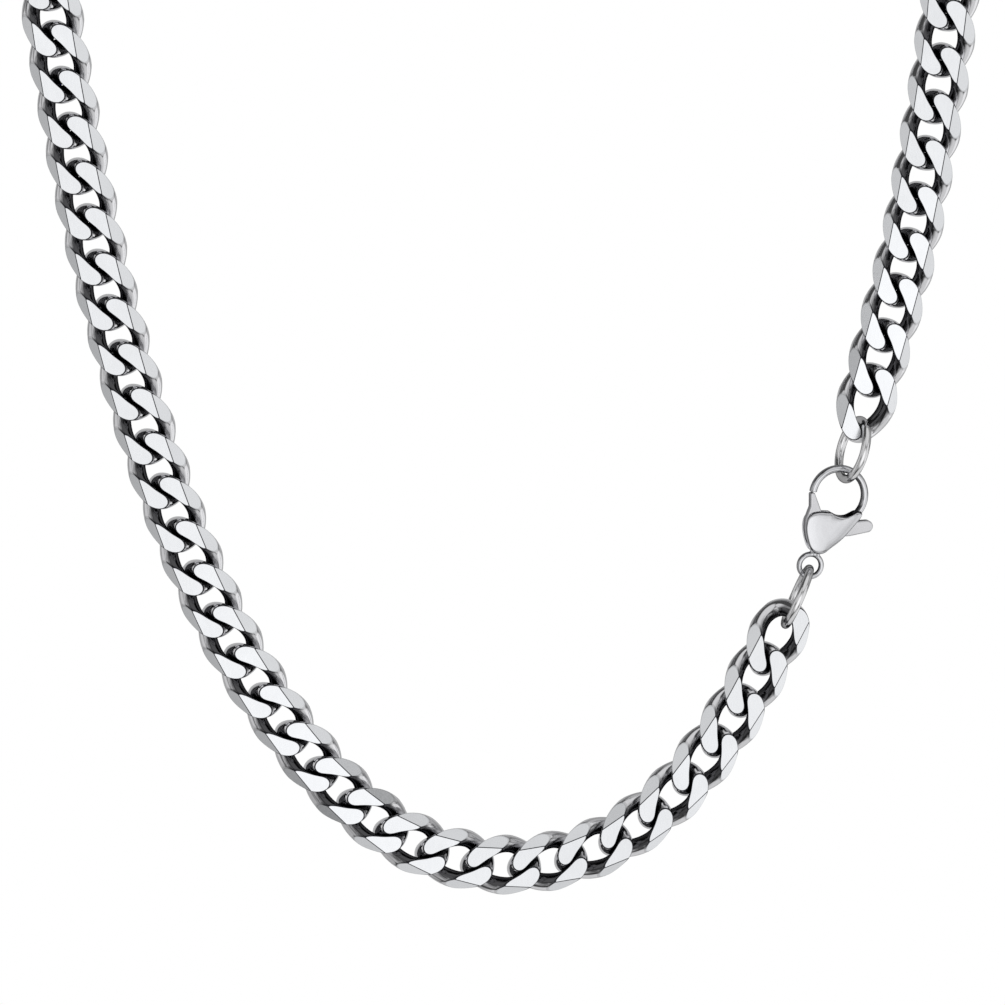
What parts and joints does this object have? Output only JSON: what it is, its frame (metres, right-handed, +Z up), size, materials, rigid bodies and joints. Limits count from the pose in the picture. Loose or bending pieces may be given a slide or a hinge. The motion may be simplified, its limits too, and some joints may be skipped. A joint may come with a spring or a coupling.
{
  "type": "curb chain necklace",
  "caption": "Curb chain necklace of twisted flat-ground links, closed in front by a lobster clasp between two jump rings, in the form it takes when worn.",
  "frame": {"origin": "where the underside of the chain's middle rests on the nape", "axes": "+Z up, the front of the chain faces -Y, +X is to the right of someone looking at the front"},
  "size_m": [0.1552, 0.0834, 0.2014],
  "materials": {
    "chain_steel": "polished",
    "ring_steel": "polished",
    "clasp_steel": "polished"
  },
  "bodies": {
    "necklace": {"chain_front": "chain_steel", "chain_back": "chain_steel", "jump_ring_upper": "ring_steel", "jump_ring_lower": "ring_steel", "clasp_body": "clasp_steel", "lever_pin": "clasp_steel"},
    "lever": {"clasp_lever": "clasp_steel"}
  },
  "joints": [
    {"name": "lever_hinge", "type": "hinge", "parent": "necklace", "child": "lever", "pos_m": [0.05002, -0.0732, -0.1419], "axis": [0, 1, 0], "range_deg": [0, 24], "stiffness_Nm_per_rad": 0.03, "springref_deg": -20.05}
  ]
}
